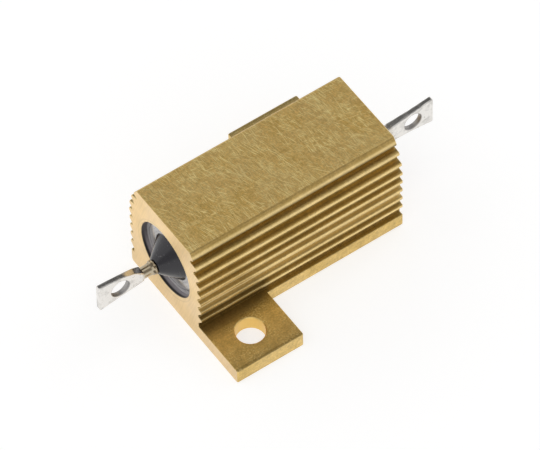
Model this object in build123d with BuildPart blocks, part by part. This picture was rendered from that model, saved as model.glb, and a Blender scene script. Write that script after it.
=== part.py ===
"""Aluminium housed power resistor: a finned housing that bolts down by two diagonal lugs,
a wire wound element moulded into its bore, and a flattened terminal at each end.

Millimetres. X runs along the resistor from end to end, Y across the lugs, Z up from the mounting face.
The origin is the middle of the mounting face.
"""
import os
from math import sqrt

from build123d import *

# Housing, cut from a finned extrusion
body_length = 27.0
body_height = 14.4
base_width = 13.6
base_edge_radius = 0.4
side_width = 13.64
shoulder_height = 9.2
top_width = 10.2
top_edge_radius = 0.5
crown_thickness = 0.95
edge_break = 0.07

# Grooves between the fins, on both sides
groove_count = 8
groove_depth = 0.57
groove_root = 0.3
crest_width = 0.34
crest_lift = 0.3
fin_edge_radius = 0.14

# Mounting lugs, left standing at two diagonal corners of the flange
flange_thickness = 2.0
lug_span = 27.3
left_lug_length = 8.8
right_lug_length = 9.4
lug_corner_radius = 0.2
hole_from_end = 4.35
hole_pitch_across = 19.8
mounting_hole_diameter = 3.4
hole_edge_break = 0.12

# Bore for the element
axis_height = 7.35
bore_diameter = 9.4
bore_chamfer = 0.12

# Moulding, with a recessed rim and a cone round each terminal
moulding_wall = 1.8
rim_recess = 0.85
cone_base_diameter = 5.8
nose_diameter = 1.9
nose_reach = 1.3
end_wall = 2.5

# Element: a ceramic core with a pressed cap on each end and a wire wound between the caps
cap_wall = 0.45
cap_end = 0.5
cap_length = 3.0
wire_diameter = 0.4
wire_clearance = 0.02
winding_turns = 14

# Terminals: round wire, pressed flat towards the tip and pierced
pin_diameter = 1.2
pin_visible = 0.8
shoulder_length = 1.2
shoulder_steps = 4
blade_length = 5.45
blade_root_width = 2.58
blade_root_thickness = 0.82
blade_tip_width = 3.95
blade_tip_thickness = 0.42
blade_edge_radius = 0.15
eye_diameter = 2.4
eye_from_tip = 2.75

# The sides of the housing stand upright to the shoulder and then curve in to the top
shoulder_rise = body_height - shoulder_height
shoulder_inset = (side_width - top_width) / 2
shoulder_radius = (shoulder_rise**2 + shoulder_inset**2) / (2 * shoulder_inset)

# The grooves share the height between the flange and the crown, and the fins between them lean upwards
groove_pitch = (body_height - crown_thickness - flange_thickness + crest_width) / groove_count
groove_mouth = groove_pitch - crest_width

# Each hole keeps its distance from its own end of the housing
hole_pitch_along = body_length - 2 * hole_from_end

# The element fills the bore apart from the moulding's wall
half_length = body_length / 2
bore_radius = bore_diameter / 2
rim_x = half_length - rim_recess
nose_x = half_length + nose_reach
cap_face_x = rim_x - end_wall
cap_rim_x = cap_face_x - cap_length
core_end_x = cap_face_x - cap_end
cap_radius = bore_radius - moulding_wall
core_radius = cap_radius - cap_wall
winding_radius = core_radius + wire_clearance + wire_diameter / 2
winding_length = 2 * (cap_rim_x - wire_clearance) - wire_diameter

# Sections across the element lie on this plane, and turned profiles on the next
across_axis = Plane(origin=(0, 0, axis_height), x_dir=(0, 1, 0), z_dir=(1, 0, 0))
along_axis = Plane(origin=(0, 0, axis_height), x_dir=(1, 0, 0), z_dir=(0, -1, 0))
element_axis = Axis((0, 0, axis_height), (1, 0, 0))


def half_width(height: float) -> float:
    """Half the width over the fin crests at a height above the mounting face."""
    above = max(0.0, height - shoulder_height)
    return side_width / 2 - shoulder_radius + sqrt(shoulder_radius**2 - above**2)


def side_points() -> list[tuple[float, float]]:
    """Corners of one side of the housing's section, from the flange up to the crown."""
    points = [(base_width / 2, flange_thickness)]
    for index in range(groove_count):
        lower_lip = flange_thickness + index * groove_pitch
        upper_lip = lower_lip + groove_mouth
        middle = (lower_lip + upper_lip) / 2
        if index < groove_count - 1:
            upper_lip += crest_lift
        root = half_width(upper_lip) - groove_depth
        if index == 0:
            points.append((root, lower_lip))
        else:
            lower_lip += crest_lift
            points.append((half_width(lower_lip), lower_lip))
            points.append((root, middle - groove_root / 2))
        points.append((root, middle + groove_root / 2))
        points.append((half_width(upper_lip), upper_lip))
    return points


# Housing
with BuildPart() as housing:
    with BuildSketch(Plane.YZ) as section:
        with BuildLine():
            Polyline(
                (0, 0),
                (base_width / 2, 0),
                *side_points(),
                (top_width / 2, body_height),
                (0, body_height),
            )
            mirror(about=Plane.YZ)
        make_face()
        fillet(section.vertices().group_by(Axis.Y)[0], base_edge_radius)
        fillet(section.vertices().group_by(Axis.Y)[-1], top_edge_radius)
        fins = section.vertices().filter_by_position(
            Axis.Y, flange_thickness, body_height - crown_thickness, inclusive=(False, True)
        )
        fillet(fins, fin_edge_radius)
    extrude(amount=half_length, both=True)

    with BuildSketch(Plane.XY) as lugs:
        for side, lug_length in ((-1, left_lug_length), (1, right_lug_length)):
            with Locations((side * (body_length - lug_length) / 2, side * lug_span / 4)):
                Rectangle(lug_length, lug_span / 2)
        outer_corners = lugs.vertices().filter_by(lambda corner: abs(corner.Y) > base_width / 2)
        fillet(outer_corners, lug_corner_radius)
    extrude(amount=flange_thickness)

    cut_faces = housing.faces().filter_by(Axis.X).group_by(Axis.X)
    flange_tops = housing.faces().filter_by(Axis.Z).filter_by(
        lambda face: abs(face.center().Z - flange_thickness) < edge_break
    )
    flange_edges = flange_tops.edges().filter_by(
        lambda edge: abs(edge.center().Y) > (base_width - groove_depth) / 2
    )
    chamfer(cut_faces[0].edges() + cut_faces[-1].edges() + flange_edges, edge_break)

    for side in (-1, 1):
        with Locations((side * hole_pitch_along / 2, side * hole_pitch_across / 2, flange_thickness)):
            Hole(mounting_hole_diameter / 2, flange_thickness)
    hole_rims = housing.edges().filter_by(GeomType.CIRCLE).filter_by(
        lambda edge: abs(edge.radius - mounting_hole_diameter / 2) < hole_edge_break / 10
    )
    chamfer(hole_rims, hole_edge_break)

    with BuildSketch(across_axis):
        Circle(bore_radius)
    extrude(amount=half_length, both=True, mode=Mode.SUBTRACT)
    bore_mouths = housing.edges().filter_by(GeomType.CIRCLE).filter_by(
        lambda edge: abs(edge.radius - bore_radius) < bore_chamfer / 10
    )
    chamfer(bore_mouths, bore_chamfer)
housing.part.label = "housing"


# Moulded body, one moulding round the whole element
with BuildPart() as moulded_body:
    with BuildSketch(along_axis):
        with BuildLine():
            Polyline(
                (0, 0),
                (nose_x, 0),
                (nose_x, nose_diameter / 2),
                (rim_x, cone_base_diameter / 2),
                (rim_x, bore_radius),
                (0, bore_radius),
            )
            mirror(about=Plane.YZ)
        make_face()
    revolve(axis=element_axis)
    with BuildSketch(across_axis):
        Circle(cap_radius)
    extrude(amount=cap_face_x, both=True, mode=Mode.SUBTRACT)
    with BuildSketch(across_axis):
        Circle(pin_diameter / 2)
    extrude(amount=nose_x, both=True, mode=Mode.SUBTRACT)
moulded_body.part.label = "moulded_body"


# Ceramic core
with BuildPart() as ceramic_core:
    with BuildSketch(across_axis):
        Circle(core_radius)
    extrude(amount=core_end_x, both=True)
ceramic_core.part.label = "ceramic_core"


# Resistance winding, one wire wound on the core from cap to cap
with BuildPart() as resistance_winding:
    with BuildLine():
        turns = Helix(
            winding_length / winding_turns,
            winding_length,
            winding_radius,
            center=(-winding_length / 2, 0, axis_height),
            direction=(1, 0, 0),
        )
    with BuildSketch(Plane(origin=turns @ 0, z_dir=turns % 0)):
        Circle(wire_diameter / 2)
    sweep(path=turns, is_frenet=True)
resistance_winding.part.label = "resistance_winding"


def build_end_cap(side: int, name: str) -> Part:
    """A cup pressed over one end of the core: side is -1 at the left end and 1 at the right."""
    outward = Plane(origin=(side * cap_face_x, 0, axis_height), x_dir=(0, 1, 0), z_dir=(side, 0, 0))
    with BuildPart() as end_cap:
        with BuildSketch(outward):
            Circle(cap_radius)
        extrude(amount=-cap_length)
        with BuildSketch(outward.offset(-cap_end)):
            Circle(core_radius)
        extrude(amount=cap_end - cap_length, mode=Mode.SUBTRACT)
    end_cap.part.label = name
    return end_cap.part


def shoulder_section(share: float) -> tuple[float, float, float]:
    """Width, thickness and edge radius of a terminal, from the pin at 0 to the blade's root at 1."""
    ease = share**2 * (3 - 2 * share)
    width = pin_diameter + ease * (blade_root_width - pin_diameter)
    thickness = pin_diameter + ease * (blade_root_thickness - pin_diameter)
    edge_radius = pin_diameter / 2 + ease * (blade_edge_radius - pin_diameter / 2)
    return width, thickness, edge_radius


def build_terminal(side: int, name: str) -> Part:
    """A terminal welded to one cap: side is -1 at the left end and 1 at the right."""
    outward = Plane(origin=(side * cap_face_x, 0, axis_height), x_dir=(0, 0, 1), z_dir=(side, 0, 0))
    pin_length = nose_x + pin_visible - cap_face_x
    blade_start = pin_length + shoulder_length
    tip = blade_start + blade_length
    with BuildPart() as terminal:
        with BuildSketch(outward):
            Circle(pin_diameter / 2)
        extrude(amount=pin_length)
        with BuildSketch(outward.offset(pin_length)):
            Circle(pin_diameter / 2)
        for step in range(1, shoulder_steps + 1):
            share = step / shoulder_steps
            with BuildSketch(outward.offset(pin_length + share * shoulder_length)):
                RectangleRounded(*shoulder_section(share))
        loft()
        with BuildSketch(outward.offset(blade_start)):
            RectangleRounded(blade_root_width, blade_root_thickness, blade_edge_radius)
        with BuildSketch(outward.offset(tip)):
            RectangleRounded(blade_tip_width, blade_tip_thickness, blade_edge_radius)
        loft(ruled=True)
        eye_x = side * (cap_face_x + tip - eye_from_tip)
        with BuildSketch(Plane(origin=(eye_x, 0, axis_height), x_dir=(1, 0, 0), z_dir=(0, -1, 0))):
            Circle(eye_diameter / 2)
        extrude(amount=blade_root_thickness, both=True, mode=Mode.SUBTRACT)
    terminal.part.label = name
    return terminal.part


os.makedirs("parts", exist_ok=True)
pieces = [
    housing.part,
    moulded_body.part,
    ceramic_core.part,
    resistance_winding.part,
    build_end_cap(-1, "left_end_cap"),
    build_end_cap(1, "right_end_cap"),
    build_terminal(-1, "left_terminal"),
    build_terminal(1, "right_terminal"),
]
for piece in pieces:
    export_step(piece, f"parts/{piece.label}.step")
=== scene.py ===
"""Looks of an aluminium housed power resistor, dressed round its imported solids.

The housing, the moulding and the element inside it keep the shapes of their solids, and the terminals are
modelled anew, with the rough collar, the pressed wedge and the dished eye that the solids leave out.
Each piece gets a finish of its own, and the part stands on a plain white floor in a soft light tent.
"""
import logging
import math
from dataclasses import dataclass
from enum import Enum
from functools import cached_property
from typing import Callable, Iterable, Sequence

import bmesh
import bpy
from mathutils import Matrix, Vector


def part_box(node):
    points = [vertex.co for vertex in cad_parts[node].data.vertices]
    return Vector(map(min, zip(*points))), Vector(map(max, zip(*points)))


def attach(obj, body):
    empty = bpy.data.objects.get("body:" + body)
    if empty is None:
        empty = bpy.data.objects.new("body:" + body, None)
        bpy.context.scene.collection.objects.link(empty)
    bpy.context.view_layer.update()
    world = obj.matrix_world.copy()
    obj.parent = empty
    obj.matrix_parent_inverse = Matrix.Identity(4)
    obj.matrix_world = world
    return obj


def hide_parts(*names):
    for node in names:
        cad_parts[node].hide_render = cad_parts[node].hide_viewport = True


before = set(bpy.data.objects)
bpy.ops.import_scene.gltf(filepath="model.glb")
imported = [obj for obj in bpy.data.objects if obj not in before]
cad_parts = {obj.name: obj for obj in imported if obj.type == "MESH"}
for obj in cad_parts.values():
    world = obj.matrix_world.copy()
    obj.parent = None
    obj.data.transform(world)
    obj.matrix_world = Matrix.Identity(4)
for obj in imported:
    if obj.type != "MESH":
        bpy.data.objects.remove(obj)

LOG = logging.getLogger("power_resistor")
MM = 0.001
ROOT = "root"

# Sizes that several classes share, in millimetres
AXIS_HEIGHT = 7.35
RIM_RECESS = 0.85
EYE_CENTRE = 19.5
EYE_RADIUS = 1.12

# Most values of a noise lie between these two
NOISE_LOW = 0.3
NOISE_HIGH = 0.7

# Points closer than this count as one place, in millimetres
NEARNESS = 0.0001

Socket = bpy.types.NodeSocket
Input = Socket | float | Sequence[float]
Range = tuple[float, float]
Triple = tuple[float, float, float]
Stops = tuple[tuple[float, float], ...]


class Axis(Enum):
    """The object's own axes, as places in a vector."""

    ALONG = "X"
    ACROSS = "Y"
    UP = "Z"


class Blend(Enum):
    """The ways to mix two colours, by Blender's names."""

    PLAIN = "MIX"
    TIMES = "MULTIPLY"


@dataclass(frozen=True)
class Colour:
    """A colour as it is seen on a screen, from 0 to 255 a channel."""

    red: float
    green: float
    blue: float

    def linear(self) -> tuple[float, float, float, float]:
        """The colour in linear light, with full cover."""
        return tuple(self._channel(value / 255) for value in (self.red, self.green, self.blue)) + (1.0,)

    @staticmethod
    def _channel(value: float) -> float:
        """One channel from the screen's scale to linear light."""
        return value / 12.92 if value <= 0.04045 else ((value + 0.055) / 1.055) ** 2.4


class Graph:
    """A node tree under construction, with short calls for the nodes that the finishes use."""

    def __init__(self, tree: bpy.types.NodeTree) -> None:
        """Starts on an empty tree."""
        self.tree = tree
        self.tree.nodes.clear()

    def add(self, kind: str, **settings: object) -> bpy.types.Node:
        """Adds a node.

        Args:
            kind: Blender's name of the node type.
            settings: properties of the node to set.

        Returns:
            The new node.
        """
        node = self.tree.nodes.new(kind)
        for name, value in settings.items():
            setattr(node, name, value)
        return node

    def feed(self, socket: Socket, source: Input) -> None:
        """Links a socket to another one, or sets it to a plain value.

        Args:
            socket: the input to feed.
            source: an output's socket, or the value.
        """
        if isinstance(source, bpy.types.NodeSocket):
            self.tree.links.new(source, socket)
        else:
            socket.default_value = source

    def maths(self, operation: str, first: Input, second: Input = 0.0, third: Input = 0.0) -> Socket:
        """One step of arithmetic on values.

        Args:
            operation: Blender's name of the step, such as MULTIPLY.
            first: the first value.
            second: the second value, where the step takes one.
            third: the third value, where the step takes one.

        Returns:
            The result's socket.
        """
        node = self.add("ShaderNodeMath", operation=operation)
        for socket, source in zip(node.inputs, (first, second, third)):
            self.feed(socket, source)
        return node.outputs[0]

    def times(self, first: Socket, *others: Input) -> Socket:
        """Multiplies values.

        Args:
            first: the first value.
            others: what it is multiplied by.

        Returns:
            The product's socket.
        """
        product = first
        for other in others:
            product = self.maths("MULTIPLY", product, other)
        return product

    def distance(self, first: Socket, second: Socket) -> Socket:
        """How far a place lies from a line, given its two offsets from it at a right angle."""
        square = self.maths("MULTIPLY_ADD", first, first, self.maths("MULTIPLY", second, second))
        return self.maths("SQRT", square)

    def vector(self, operation: str, first: Input, second: Input = (0.0, 0.0, 0.0)) -> bpy.types.Node:
        """One step of arithmetic on vectors.

        Args:
            operation: Blender's name of the step, such as DOT_PRODUCT.
            first: the first vector.
            second: the second vector, where the step takes one.

        Returns:
            The step's node, since its result may be a vector or a value.
        """
        node = self.add("ShaderNodeVectorMath", operation=operation)
        self.feed(node.inputs[0], first)
        self.feed(node.inputs[1], second)
        return node

    def axes(self, vector: Socket) -> dict[Axis, Socket]:
        """The three parts of a vector.

        Args:
            vector: the vector's socket.

        Returns:
            The parts' sockets by axis.
        """
        parts = self.add("ShaderNodeSeparateXYZ")
        self.feed(parts.inputs[0], vector)
        return {axis: parts.outputs[axis.value] for axis in Axis}

    def span(self, value: Input, start: Input, end: Input, low: Input = 0.0, high: Input = 1.0) -> Socket:
        """A smooth step.

        Args:
            value: what the step depends on.
            start: the value at which the step begins.
            end: the value at which it ends, on either side of the start.
            low: the result before the step.
            high: the result after it.

        Returns:
            The result's socket.
        """
        node = self.add("ShaderNodeMapRange", interpolation_type="SMOOTHSTEP")
        for socket, source in zip(node.inputs, (value, start, end, low, high)):
            self.feed(socket, source)
        return node.outputs[0]

    def fade(self, mask: Socket, low: Input, high: Input) -> Socket:
        """Goes smoothly from a low value to a high one as a mask goes from 0 to 1."""
        return self.span(mask, 0.0, 1.0, low, high)

    def edge(self, value: Socket, base: float, offsets: Range, low: Input = 0.0, high: Input = 1.0) -> Socket:
        """A smooth step that begins and ends at two offsets from a base."""
        return self.span(value, base + offsets[0], base + offsets[1], low, high)

    def ramp(self, value: Input, stops: Stops) -> Socket:
        """A value that rises and falls between stops.

        Args:
            value: what it depends on.
            stops: pairs of a place in that value and the result there, in rising order.

        Returns:
            The result's socket.
        """
        first, last = stops[0][0], stops[-1][0]
        share = self.add("ShaderNodeMapRange")
        for socket, source in zip(share.inputs, (value, first, last)):
            self.feed(socket, source)
        node = self.add("ShaderNodeValToRGB")
        elements = node.color_ramp.elements
        while len(elements) < len(stops):
            elements.new(1.0)
        for element, (place, level) in zip(elements, stops):
            element.position = (place - first) / (last - first)
            element.color = (level, level, level, 1.0)
        self.feed(node.inputs[0], share.outputs[0])
        return node.outputs[0]

    def blend(self, share: Input, first: Input, second: Input) -> Socket:
        """Mixes two values.

        Args:
            share: how much of the second value there is.
            first: the first value.
            second: the second value.

        Returns:
            The mixed value's socket.
        """
        node = self.add("ShaderNodeMix")
        for name, source in (("Factor", share), ("A", first), ("B", second)):
            self.feed(node.inputs[name], source)
        return node.outputs[0]

    def mix(self, share: Input, first: Input, second: Input, blend: Blend = Blend.PLAIN) -> Socket:
        """Mixes two colours.

        Args:
            share: how much of the second colour there is.
            first: the first colour.
            second: the second colour.
            blend: the way to mix them.

        Returns:
            The mixed colour's socket.
        """
        node = self.add("ShaderNodeMix", data_type="RGBA", blend_type=blend.value)
        self.feed(node.inputs["Factor"], share)
        self.feed(node.inputs[6], first)
        self.feed(node.inputs[7], second)
        return node.outputs[2]

    def scale(self, colour: Socket, factor: Socket) -> Socket:
        """Makes a colour darker or lighter by a factor."""
        return self.mix(1.0, colour, factor, Blend.TIMES)

    def dim(self, mask: Socket, colour: Socket, factor: Socket) -> Socket:
        """Makes a colour darker or lighter by a factor where a mask says so."""
        return self.mix(mask, colour, self.scale(colour, factor))

    def noise(self, place: Socket, scale: Input, detail: float = 2.0, roughness: float = 0.5) -> Socket:
        """A soft random value at each place.

        Args:
            place: the place's socket.
            scale: how many bumps there are to the millimetre.
            detail: how many finer layers lie on them.
            roughness: how strong the finer layers are.

        Returns:
            The value's socket.
        """
        node = self.add("ShaderNodeTexNoise")
        self.feed(node.inputs["Vector"], place)
        self.feed(node.inputs["Scale"], scale)
        node.inputs["Detail"].default_value = detail
        node.inputs["Roughness"].default_value = roughness
        return node.outputs["Fac"]

    def cloud(self, place: Socket, scale: float, low: Input, high: Input, detail: float = 2.0) -> Socket:
        """A noise that is spread from a low value to a high one."""
        return self.span(self.noise(place, scale, detail), NOISE_LOW, NOISE_HIGH, low, high)

    def effect(self, group: bpy.types.NodeTree, **values: Input) -> Socket:
        """Places a shared effect.

        Args:
            group: the effect's node group.
            values: what goes into its inputs, by name.

        Returns:
            The socket of its mask.
        """
        node = self.add("ShaderNodeGroup", node_tree=group)
        for name, value in values.items():
            self.feed(node.inputs[name], value)
        return node.outputs["Mask"]


class Ground:
    """The surface under a finish. The nodes that read it are added when they are first asked for."""

    def __init__(self, graph: Graph) -> None:
        """Starts with no nodes of its own."""
        self.graph = graph

    @cached_property
    def place(self) -> Socket:
        """The place on the piece, in the object's own frame.

        Returns:
            The place's socket, in millimetres.
        """
        coordinates = self.graph.add("ShaderNodeTexCoord")
        scaled = self.graph.vector("SCALE", coordinates.outputs["Object"])
        scaled.inputs["Scale"].default_value = 1 / MM
        return scaled.outputs[0]

    @cached_property
    def parts(self) -> dict[Axis, Socket]:
        """The place's three parts."""
        return self.graph.axes(self.place)

    @cached_property
    def height(self) -> Socket:
        """The height above the mounting face."""
        return self.parts[Axis.UP]

    @cached_property
    def outward(self) -> Socket:
        """The distance from the middle of the length."""
        return self.graph.maths("ABSOLUTE", self.parts[Axis.ALONG])

    @cached_property
    def sideways(self) -> Socket:
        """The distance from the middle of the width."""
        return self.graph.maths("ABSOLUTE", self.parts[Axis.ACROSS])

    @cached_property
    def rise(self) -> Socket:
        """The height above the element's axis."""
        return self.graph.maths("SUBTRACT", self.height, AXIS_HEIGHT)

    @cached_property
    def radius(self) -> Socket:
        """The distance from the element's axis."""
        return self.graph.distance(self.rise, self.parts[Axis.ACROSS])

    @cached_property
    def facing(self) -> Socket:
        """How far the surface looks upwards, from -1 to 1."""
        return self.graph.axes(self.graph.add("ShaderNodeNewGeometry").outputs["Normal"])[Axis.UP]


class Effect:
    """A shared effect: a node group with named inputs that puts out a mask."""

    name = ""
    inputs: tuple[tuple[str, str, Input], ...] = ()

    def build(self) -> bpy.types.NodeTree:
        """Makes the group once.

        Returns:
            The node group.
        """
        found = bpy.data.node_groups.get(self.name)
        if found:
            return found
        tree = bpy.data.node_groups.new(self.name, "ShaderNodeTree")
        for name, kind, value in self.inputs:
            socket = tree.interface.new_socket(name, in_out="INPUT", socket_type=kind)
            socket.default_value = value
        tree.interface.new_socket("Mask", in_out="OUTPUT", socket_type="NodeSocketFloat")
        graph = Graph(tree)
        given = {socket.name: socket for socket in graph.add("NodeGroupInput").outputs if socket.name}
        result = graph.add("NodeGroupOutput").inputs["Mask"]
        graph.feed(result, self.draw(graph, given))
        return tree

    def draw(self, graph: Graph, given: dict[str, Socket]) -> Socket:
        """Draws the effect's nodes.

        Args:
            graph: the group's tree.
            given: the group's inputs by name.

        Returns:
            The mask's socket.
        """
        raise NotImplementedError


class Streaks(Effect):
    """Fine lines of any length and direction, as rolling, drawing, sawing or rubbing leaves them."""

    name = "streaks"
    inputs = (
        ("Place", "NodeSocketVector", (0.0, 0.0, 0.0)),
        ("Turn", "NodeSocketVector", (0.0, 0.0, 0.0)),
        ("Size", "NodeSocketVector", (1.0, 1.0, 1.0)),
        ("Start", "NodeSocketFloat", 0.4),
        ("End", "NodeSocketFloat", 0.6),
    )

    def draw(self, graph: Graph, given: dict[str, Socket]) -> Socket:
        """Stretches a noise to the lines' size and keeps what lies above the threshold.

        Args:
            graph: the group's tree.
            given: the group's inputs by name.

        Returns:
            The mask's socket.
        """
        mapping = graph.add("ShaderNodeMapping", vector_type="TEXTURE")
        for name, source in (("Vector", "Place"), ("Rotation", "Turn"), ("Scale", "Size")):
            graph.feed(mapping.inputs[name], given[source])
        value = graph.noise(mapping.outputs[0], scale=1.0, detail=1.0)
        return graph.span(value, given["Start"], given["End"])

    def mask(self, ground: Ground, size: Triple, bounds: Range, turn: Triple = (0.0, 0.0, 0.0)) -> Socket:
        """Lays lines on a surface, of a size in millimetres and a turn in radians, by the noise's bounds."""
        given = {"Place": ground.place, "Turn": turn, "Size": size, "Start": bounds[0], "End": bounds[1]}
        return ground.graph.effect(self.build(), **given)


class EdgeWear(Effect):
    """Where a sharp edge is rubbed bright."""

    name = "edge_wear"
    inputs = (
        ("Place", "NodeSocketVector", (0.0, 0.0, 0.0)),
        ("Reach", "NodeSocketFloat", 0.0002),
        ("Grain", "NodeSocketFloat", 1.5),
    )
    samples = 6
    turned: Range = (0.995, 0.86)
    broken: Range = (0.35, 0.65)

    def draw(self, graph: Graph, given: dict[str, Socket]) -> Socket:
        """Compares the surface's normal with one rounded over the edge, and breaks the result up.

        Args:
            graph: the group's tree.
            given: the group's inputs by name.

        Returns:
            The mask's socket.
        """
        rounded = graph.add("ShaderNodeBevel", samples=self.samples)
        graph.feed(rounded.inputs["Radius"], given["Reach"])
        true_normal = graph.add("ShaderNodeNewGeometry").outputs["Normal"]
        along = graph.vector("DOT_PRODUCT", rounded.outputs[0], true_normal).outputs["Value"]
        grain = graph.noise(given["Place"], given["Grain"])
        return graph.times(graph.span(along, *self.turned), graph.span(grain, *self.broken))


class Specks(Effect):
    """Small scattered spots, such as dust, pits and stains."""

    name = "specks"
    inputs = (
        ("Place", "NodeSocketVector", (0.0, 0.0, 0.0)),
        ("Scale", "NodeSocketFloat", 4.0),
        ("Start", "NodeSocketFloat", 0.66),
        ("End", "NodeSocketFloat", 0.72),
    )

    def draw(self, graph: Graph, given: dict[str, Socket]) -> Socket:
        """Keeps the peaks of a noise."""
        value = graph.noise(given["Place"], given["Scale"], detail=3.0)
        return graph.span(value, given["Start"], given["End"])

    def mask(self, ground: Ground, scale: float, bounds: Range) -> Socket:
        """Lays spots on a surface, so many bumps of noise to the millimetre, by the noise's bounds."""
        given = {"Place": ground.place, "Scale": scale, "Start": bounds[0], "End": bounds[1]}
        return ground.graph.effect(self.build(), **given)


class Finish:
    """A surface finish: makes one material."""

    name: str

    def make(self) -> bpy.types.Material:
        """Makes the material.

        Returns:
            The material, ready for a slot.
        """
        material = bpy.data.materials.new(self.name)
        material.use_nodes = True
        graph = Graph(material.node_tree)
        shader = graph.add("ShaderNodeBsdfPrincipled")
        output = graph.add("ShaderNodeOutputMaterial")
        graph.feed(output.inputs["Surface"], shader.outputs[0])
        self.paint(Ground(graph), shader.inputs)
        return material

    def paint(self, ground: Ground, shader: bpy.types.NodeInputs) -> None:
        """Feeds the shader's sockets.

        Args:
            ground: the surface under the finish.
            shader: the shader's inputs.
        """
        raise NotImplementedError

    @staticmethod
    def bump(graph: Graph, shader: bpy.types.NodeInputs, height: Socket, depth: float) -> None:
        """Raises the surface by a height from 0 to 1.

        Args:
            graph: the material's tree.
            shader: the shader's inputs.
            height: the height's socket.
            depth: what a height of 1 measures, in metres.
        """
        node = graph.add("ShaderNodeBump")
        node.inputs["Distance"].default_value = depth
        graph.feed(node.inputs["Height"], height)
        graph.feed(shader["Normal"], node.outputs[0])


@dataclass(frozen=True)
class SideCurve:
    """The line over the fin crests: upright to a shoulder, then a curve in to the top. Millimetres."""

    half_width: float = 6.82
    shoulder: float = 9.2
    radius: float = 8.72
    low: float = 2.0
    high: float = 13.45
    inner: float = 4.95
    inner_edge: Range = (-0.05, 0.0)
    flange_edge: Range = (0.03, 0.1)
    crown_edge: Range = (0.15, 0.0)

    def depth(self, ground: Ground) -> Socket:
        """How far a place lies behind the crests.

        Args:
            ground: the surface.

        Returns:
            The depth's socket.
        """
        graph = ground.graph
        above = graph.maths("MAXIMUM", graph.maths("SUBTRACT", ground.height, self.shoulder), 0.0)
        fall = graph.maths("MULTIPLY_ADD", graph.maths("MULTIPLY", above, -1.0), above, self.radius**2)
        crest = graph.maths("ADD", graph.maths("SQRT", fall), self.half_width - self.radius)
        return graph.maths("SUBTRACT", crest, ground.sideways)

    def mask(self, ground: Ground) -> Socket:
        """The finned sides, from the flange up to the crown.

        Args:
            ground: the surface.

        Returns:
            The mask's socket.
        """
        graph = ground.graph
        return graph.times(
            graph.edge(ground.sideways, self.inner, self.inner_edge),
            graph.edge(ground.height, self.low, self.flange_edge),
            graph.edge(ground.height, self.high, self.crown_edge),
        )


@dataclass(frozen=True)
class HousingSize:
    """Sizes of the housing that its finish follows. Millimetres."""

    half_length: float
    lug_reach: float
    top: float
    bore_radius: float = 4.7
    lug_start: float = 4.4
    lug_edge: Range = (-0.7, 0.7)
    hole: tuple[float, float] = (9.15, 9.9)
    hole_radius: float = 1.7
    sides: SideCurve = SideCurve()

    def over_lug(self, ground: Ground) -> Socket:
        """A mask of the two lengths of the sides that a lug stands out from.

        Args:
            ground: the surface.

        Returns:
            The mask's socket.
        """
        graph = ground.graph
        diagonal = graph.times(ground.parts[Axis.ALONG], graph.maths("SIGN", ground.parts[Axis.ACROSS]))
        return graph.edge(diagonal, self.lug_start, self.lug_edge)


@dataclass(frozen=True)
class GoldPalette:
    """The colours of gold anodised aluminium."""

    gold: Colour = Colour(230, 199, 130)
    # A deeper gold: random tone, the top's tint, and the painted reflection in the grooves
    deep: Colour = Colour(217, 186, 113)
    # Painted light: the sawn ends' paler colour, as light falls on them
    sawn: Colour = Colour(244, 218, 174)
    # Worn edges, and painted light in the grooves and on the crests and the lip
    bright: Colour = Colour(247, 228, 180)
    glint: Colour = Colour(255, 236, 168)
    # Painted light: the brighter gold of the holes' walls
    lit_hole: Colour = Colour(247, 208, 121)


@dataclass(frozen=True)
class Scratch:
    """A set of like scratches: turn in radians, width and length in millimetres, threshold and strength."""

    turn: float
    width: float
    length: float
    start: float
    share: float


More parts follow.
